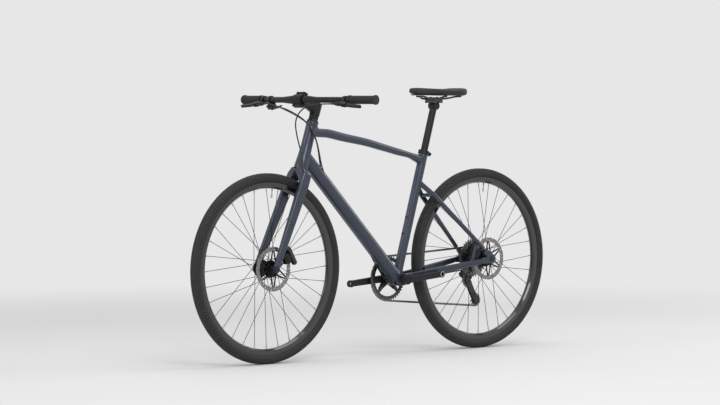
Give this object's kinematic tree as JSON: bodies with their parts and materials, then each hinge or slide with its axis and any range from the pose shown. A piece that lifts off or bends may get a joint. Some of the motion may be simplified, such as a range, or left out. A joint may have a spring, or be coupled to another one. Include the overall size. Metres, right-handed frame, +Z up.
{
  "type": "hybrid bike",
  "caption": "Flat-bar hybrid bicycle with a sloping frame, straight fork, disc brakes, single chainring, rear derailleur, knobbly-edged tyres and bare crank ends.",
  "frame": {"origin": "on the ground midway between the two axles, in the wheels' plane", "axes": "+X forward, +Y to the rider's left, +Z up"},
  "size_m": [1.7898, 0.7448, 1.0148],
  "materials": {
    "frame_paint": "satin metallic navy",
    "black_alloy": "satin black anodised",
    "dark_anodised": "dark grey anodised",
    "grey_alloy": "grey anodised",
    "dark_steel": "dark plated",
    "chain_steel": "oiled",
    "rotor_steel": "ground",
    "pad_compound": "sintered",
    "black_plastic": "fine grain",
    "grip_rubber": "matt",
    "hose_jacket": "semi-gloss",
    "tyre_rubber": "matt",
    "saddle_skin": "matt synthetic"
  },
  "bodies": {
    "frame": {"head_tube": "frame_paint", "top_tube": "frame_paint", "down_tube": "frame_paint", "seat_tube": "frame_paint", "bottom_bracket_shell": "frame_paint", "chainstays": "frame_paint", "seatstays": "frame_paint", "derailleur_hanger": "black_alloy", "seat_collar": "black_alloy", "frame_bearings": "dark_anodised", "rear_axle": "dark_steel", "rear_calliper": "grey_alloy", "rear_hose": "hose_jacket", "gear_cable": "hose_jacket", "derailleur_base": "dark_anodised", "chain": "chain_steel"},
    "steering": {"fork": "frame_paint", "front_axle": "dark_steel", "headset_spacers": "black_alloy", "stem": "black_alloy", "stem_faceplate": "black_alloy", "handlebar": "black_alloy", "grips": "grip_rubber", "lever_body_left": "grey_alloy", "lever_body_right": "grey_alloy", "shifter_body": "black_plastic", "front_calliper": "grey_alloy", "front_hose": "hose_jacket"},
    "front_wheel": {"front_hub": "black_alloy", "front_spokes": "dark_steel", "front_rim": "dark_anodised", "front_tyre": "tyre_rubber", "front_rotor": "rotor_steel"},
    "rear_wheel": {"rear_hub": "black_alloy", "rear_spokes": "dark_steel", "rear_rim": "dark_anodised", "rear_tyre": "tyre_rubber", "rear_rotor": "rotor_steel"},
    "freewheel": {"cassette": "dark_steel"},
    "crankset": {"crank_right": "dark_anodised", "crank_left": "dark_anodised", "chainring": "dark_steel"},
    "outer_link": {"derailleur_outer_link": "dark_anodised"},
    "inner_link": {"derailleur_inner_link": "dark_anodised"},
    "knuckle": {"derailleur_knuckle": "dark_anodised"},
    "cage": {"derailleur_cage": "dark_steel"},
    "guide": {"guide_pulley": "black_plastic"},
    "tension": {"tension_pulley": "black_plastic"},
    "left_lever": {"brake_lever_left": "grey_alloy"},
    "right_lever": {"brake_lever_right": "grey_alloy"},
    "main_paddle": {"shift_paddle_main": "black_plastic"},
    "release_paddle": {"shift_paddle_release": "black_plastic"},
    "front_outer_pad": {"front_pad_outer": "pad_compound"},
    "front_inner_pad": {"front_pad_inner": "pad_compound"},
    "rear_outer_pad": {"rear_pad_outer": "pad_compound"},
    "rear_inner_pad": {"rear_pad_inner": "pad_compound"},
    "post": {"seatpost": "black_alloy"},
    "saddle": {"saddle_rails": "dark_steel", "saddle_shell": "black_plastic", "saddle_cover": "saddle_skin"}
  },
  "joints": [
    {"name": "steering", "type": "hinge", "parent": "frame", "child": "steering", "pos_m": [0.37626, 0, 0.71249], "axis": [-0.3173, 0, 0.9483], "range_deg": [-60, 60], "deforming": ["rear_hose", "gear_cable"]},
    {"name": "front_wheel_spin", "type": "hinge", "parent": "steering", "child": "front_wheel", "pos_m": [0.545, 0, 0.35], "axis": [0, 1, 0], "continuous": true},
    {"name": "rear_wheel_spin", "type": "hinge", "parent": "frame", "child": "rear_wheel", "pos_m": [-0.545, 0, 0.35], "axis": [0, 1, 0], "continuous": true},
    {"name": "crank_spin", "type": "hinge", "parent": "frame", "child": "crankset", "pos_m": [-0.10665, 0, 0.286], "axis": [0, 1, 0], "continuous": true, "deforming": ["chain"]},
    {"name": "cassette_spin", "type": "hinge", "parent": "frame", "child": "freewheel", "pos_m": [-0.545, 0, 0.35], "axis": [0, 1, 0], "continuous": true},
    {"name": "derailleur_swing", "type": "hinge", "parent": "frame", "child": "outer_link", "pos_m": [-0.58, -0.08836, 0.28936], "axis": [0, 0.7071, 0.7071], "range_deg": [-27, 27]},
    {"name": "inner_link_swing", "type": "hinge", "parent": "frame", "child": "inner_link", "pos_m": [-0.58, -0.07564, 0.27664], "axis": [0, 0.7071, 0.7071], "range_deg": [-27, 27]},
    {"name": "knuckle_swing", "type": "hinge", "parent": "outer_link", "child": "knuckle", "pos_m": [-0.54, -0.08836, 0.28936], "axis": [0, 0.7071, 0.7071], "range_deg": [-27, 27]},
    {"name": "cage_swing", "type": "hinge", "parent": "knuckle", "child": "cage", "pos_m": [-0.54, 0, 0.267], "axis": [0, 1, 0], "range_deg": [-40, 15], "stiffness_Nm_per_rad": 0.9},
    {"name": "guide_pulley_spin", "type": "hinge", "parent": "cage", "child": "guide", "pos_m": [-0.531, -0.047, 0.262], "axis": [0, 1, 0], "continuous": true},
    {"name": "tension_pulley_spin", "type": "hinge", "parent": "cage", "child": "tension", "pos_m": [-0.57413, -0.047, 0.18301], "axis": [0, 1, 0], "continuous": true},
    {"name": "left_brake_lever", "type": "hinge", "parent": "steering", "child": "left_lever", "pos_m": [0.38291, 0.25289, 0.95094], "axis": [0.5234, 0.0829, 0.848], "range_deg": [0, 14], "stiffness_Nm_per_rad": 1.2, "springref_deg": -11.46},
    {"name": "right_brake_lever", "type": "hinge", "parent": "steering", "child": "right_lever", "pos_m": [0.38291, -0.25289, 0.95094], "axis": [-0.5234, 0.0829, -0.848], "range_deg": [0, 14], "stiffness_Nm_per_rad": 1.2, "springref_deg": -11.46},
    {"name": "front_outer_pad_slide", "type": "slide", "parent": "steering", "child": "front_outer_pad", "axis": [0, -1, 0], "range_m": [0, 0.0003]},
    {"name": "front_inner_pad_slide", "type": "slide", "parent": "steering", "child": "front_inner_pad", "axis": [0, 1, 0], "range_m": [0, 0.0003]},
    {"name": "rear_outer_pad_slide", "type": "slide", "parent": "frame", "child": "rear_outer_pad", "axis": [0, -1, 0], "range_m": [0, 0.0003]},
    {"name": "rear_inner_pad_slide", "type": "slide", "parent": "frame", "child": "rear_inner_pad", "axis": [0, 1, 0], "range_m": [0, 0.0003]},
    {"name": "main_shift_paddle", "type": "hinge", "parent": "steering", "child": "main_paddle", "pos_m": [0.35978, -0.18038, 0.93968], "axis": [-0.4938, 0.0782, -0.866], "range_deg": [0, 22], "stiffness_Nm_per_rad": 0.3, "springref_deg": -11.46},
    {"name": "release_shift_paddle", "type": "hinge", "parent": "steering", "child": "release_paddle", "pos_m": [0.35978, -0.18038, 0.93968], "axis": [-0.4938, 0.0782, -0.866], "range_deg": [0, 12], "stiffness_Nm_per_rad": 0.3, "springref_deg": -11.46},
    {"name": "seatpost_slide", "type": "slide", "parent": "frame", "child": "post", "axis": [-0.2874, 0, 0.9578], "range_m": [-0.09, 0.035]},
    {"name": "saddle_tilt", "type": "hinge", "parent": "post", "child": "saddle", "pos_m": [-0.30435, 0, 0.94498], "axis": [0, 1, 0], "range_deg": [-8, 8]}
  ],
  "couplings": [
    {"joint": "cassette_spin", "follows": "crank_spin", "ratio": 2},
    {"joint": "guide_pulley_spin", "follows": "crank_spin", "ratio": -3.8182},
    {"joint": "tension_pulley_spin", "follows": "crank_spin", "ratio": 3.8182},
    {"joint": "inner_link_swing", "follows": "derailleur_swing", "ratio": 1},
    {"joint": "knuckle_swing", "follows": "derailleur_swing", "ratio": -1},
    {"joint": "front_outer_pad_slide", "follows": "left_brake_lever", "m_per_rad": 0.0012278},
    {"joint": "front_inner_pad_slide", "follows": "left_brake_lever", "m_per_rad": 0.0012278},
    {"joint": "rear_outer_pad_slide", "follows": "right_brake_lever", "m_per_rad": 0.0012278},
    {"joint": "rear_inner_pad_slide", "follows": "right_brake_lever", "m_per_rad": 0.0012278}
  ]
}
